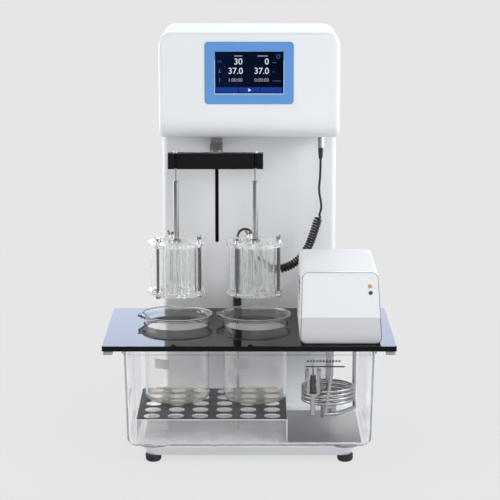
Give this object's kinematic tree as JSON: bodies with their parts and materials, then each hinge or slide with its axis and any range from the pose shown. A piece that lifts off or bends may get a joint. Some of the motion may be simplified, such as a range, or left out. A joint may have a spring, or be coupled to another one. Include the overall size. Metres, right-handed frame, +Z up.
{
  "type": "tablet disintegration tester",
  "caption": "Bench tablet disintegration tester: column with overhanging display head dips tube baskets into glass beakers in a heated water bath under a smoked lid",
  "frame": {"origin": "Centre of the footprint's bounding box, on the bench under the feet", "axes": "+Z up along the column, -Y towards the user at the display, +X to the user's right"},
  "size_m": [0.455, 0.363, 0.664],
  "materials": {
    "white_shell": "satin powder coat",
    "base_grey": "satin powder coat",
    "black_rubber": "matt",
    "zinc_steel": "bright zinc",
    "bezel_blue": "smooth moulded",
    "display_black": "polished, dark",
    "board_green": "solder resist",
    "black_brush": "matt bristle",
    "frame_steel": "plain sheet",
    "rail_black": "black oxide",
    "polished_steel": "polished",
    "motor_black": "satin",
    "belt_black": "matt",
    "pulley_aluminium": "turned",
    "carriage_black": "moulded",
    "arm_grey": "brushed",
    "bar_black": "satin",
    "socket_black": "moulded",
    "bath_clear": "clear moulded",
    "rack_steel": "brushed stainless",
    "lid_smoke": "polished smoked sheet",
    "heater_white": "smooth moulded",
    "heater_grey": "moulded",
    "lamp_amber": "lens",
    "tube_steel": "drawn stainless",
    "nickel": "bright nickel",
    "cable_black": "satin jacket",
    "handle_black": "moulded",
    "beaker_glass": "clear",
    "plate_clear": "clear, polished",
    "float_black": "moulded"
  },
  "bodies": {
    "stand": {"base_plate": "base_grey", "rubber_feet": "black_rubber", "column_shell": "white_shell", "rear_cover": "white_shell", "cover_screws": "zinc_steel", "head_shell": "white_shell", "head_underpan": "base_grey", "screen_bezel": "bezel_blue", "display_glass": "display_black", "control_board": "board_green", "slot_brushes": "black_brush", "column_frame": "frame_steel", "guide_rail": "rail_black", "drive_motor": "motor_black", "drive_belt": "belt_black", "mains_inlet": "socket_black", "water_bath": "bath_clear", "beaker_rack": "rack_steel", "probe_socket": "socket_black", "probe_plug": "nickel", "probe_boot": "cable_black", "probe_lead": "cable_black", "probe_curl": "cable_black", "probe_tail": "cable_black", "probe_handle": "handle_black", "probe_shaft": "tube_steel"},
    "lift": {"carriage": "carriage_black", "drive_arm": "arm_grey", "cross_bar": "bar_black", "bar_screws": "zinc_steel"},
    "motor_pulley": {"drive_pulley": "pulley_aluminium"},
    "top_pulley": {"idler_pulley": "pulley_aluminium"},
    "left_basket": {"left_hanger": "polished_steel", "left_top_plate": "plate_clear", "left_bottom_plate": "plate_clear", "left_tubes": "beaker_glass", "left_mesh": "tube_steel", "left_bolts": "polished_steel", "left_wing_nuts": "polished_steel"},
    "right_basket": {"right_hanger": "polished_steel", "right_top_plate": "plate_clear", "right_bottom_plate": "plate_clear", "right_tubes": "beaker_glass", "right_mesh": "tube_steel", "right_bolts": "polished_steel", "right_wing_nuts": "polished_steel"},
    "left_vessel": {"left_beaker": "beaker_glass"},
    "right_vessel": {"right_beaker": "beaker_glass"},
    "cover": {"lid": "lid_smoke"},
    "heater": {"heater_housing": "heater_white", "heater_front_panel": "heater_white", "heater_base": "heater_grey", "heater_lamps": "lamp_amber", "heater_coil": "tube_steel", "pump_tube": "tube_steel", "circulator_motor": "motor_black", "level_sensor": "tube_steel"},
    "impeller": {"pump_impeller": "tube_steel"},
    "float": {"level_float": "float_black"},
    "switch": {"power_rocker": "socket_black"}
  },
  "joints": [
    {"name": "drive_lift", "type": "slide", "parent": "stand", "child": "lift", "axis": [0, 0, 1], "range_m": [-0.15, 0]},
    {"name": "motor_pulley_spin", "type": "hinge", "parent": "stand", "child": "motor_pulley", "pos_m": [-0.012, 0.113, 0.285], "axis": [0, 1, 0], "range_deg": [-544.5, 1]},
    {"name": "top_pulley_spin", "type": "hinge", "parent": "stand", "child": "top_pulley", "pos_m": [-0.012, 0.113, 0.516], "axis": [0, 1, 0], "range_deg": [-544.5, 1]},
    {"name": "left_basket_unhook", "type": "slide", "parent": "lift", "child": "left_basket", "axis": [0, -1, 0], "range_m": [0, 0.06]},
    {"name": "right_basket_unhook", "type": "slide", "parent": "lift", "child": "right_basket", "axis": [0, -1, 0], "range_m": [0, 0.06]},
    {"name": "left_beaker_lift", "type": "slide", "parent": "stand", "child": "left_vessel", "axis": [0, 0, 1], "range_m": [0, 0.02]},
    {"name": "right_beaker_lift", "type": "slide", "parent": "stand", "child": "right_vessel", "axis": [0, 0, 1], "range_m": [0, 0.02]},
    {"name": "lid_lift", "type": "slide", "parent": "stand", "child": "cover", "axis": [0, 0, 1], "range_m": [0, 0.004]},
    {"name": "heater_lift", "type": "slide", "parent": "cover", "child": "heater", "axis": [0, 0, 1], "range_m": [0, 0.13]},
    {"name": "impeller_spin", "type": "hinge", "parent": "heater", "child": "impeller", "pos_m": [0.1268, -0.08, 0.08], "axis": [0, 0, 1], "continuous": true},
    {"name": "float_rise", "type": "slide", "parent": "heater", "child": "float", "axis": [0, 0, 1], "range_m": [0, 0.008]},
    {"name": "power_switch", "type": "hinge", "parent": "stand", "child": "switch", "pos_m": [0.082, 0.1755, 0.099], "axis": [1, 0, 0], "range_deg": [0, 20]}
  ],
  "couplings": [
    {"joint": "motor_pulley_spin", "follows": "drive_lift", "rad_per_m": 63.291},
    {"joint": "top_pulley_spin", "follows": "drive_lift", "rad_per_m": 63.291}
  ]
}
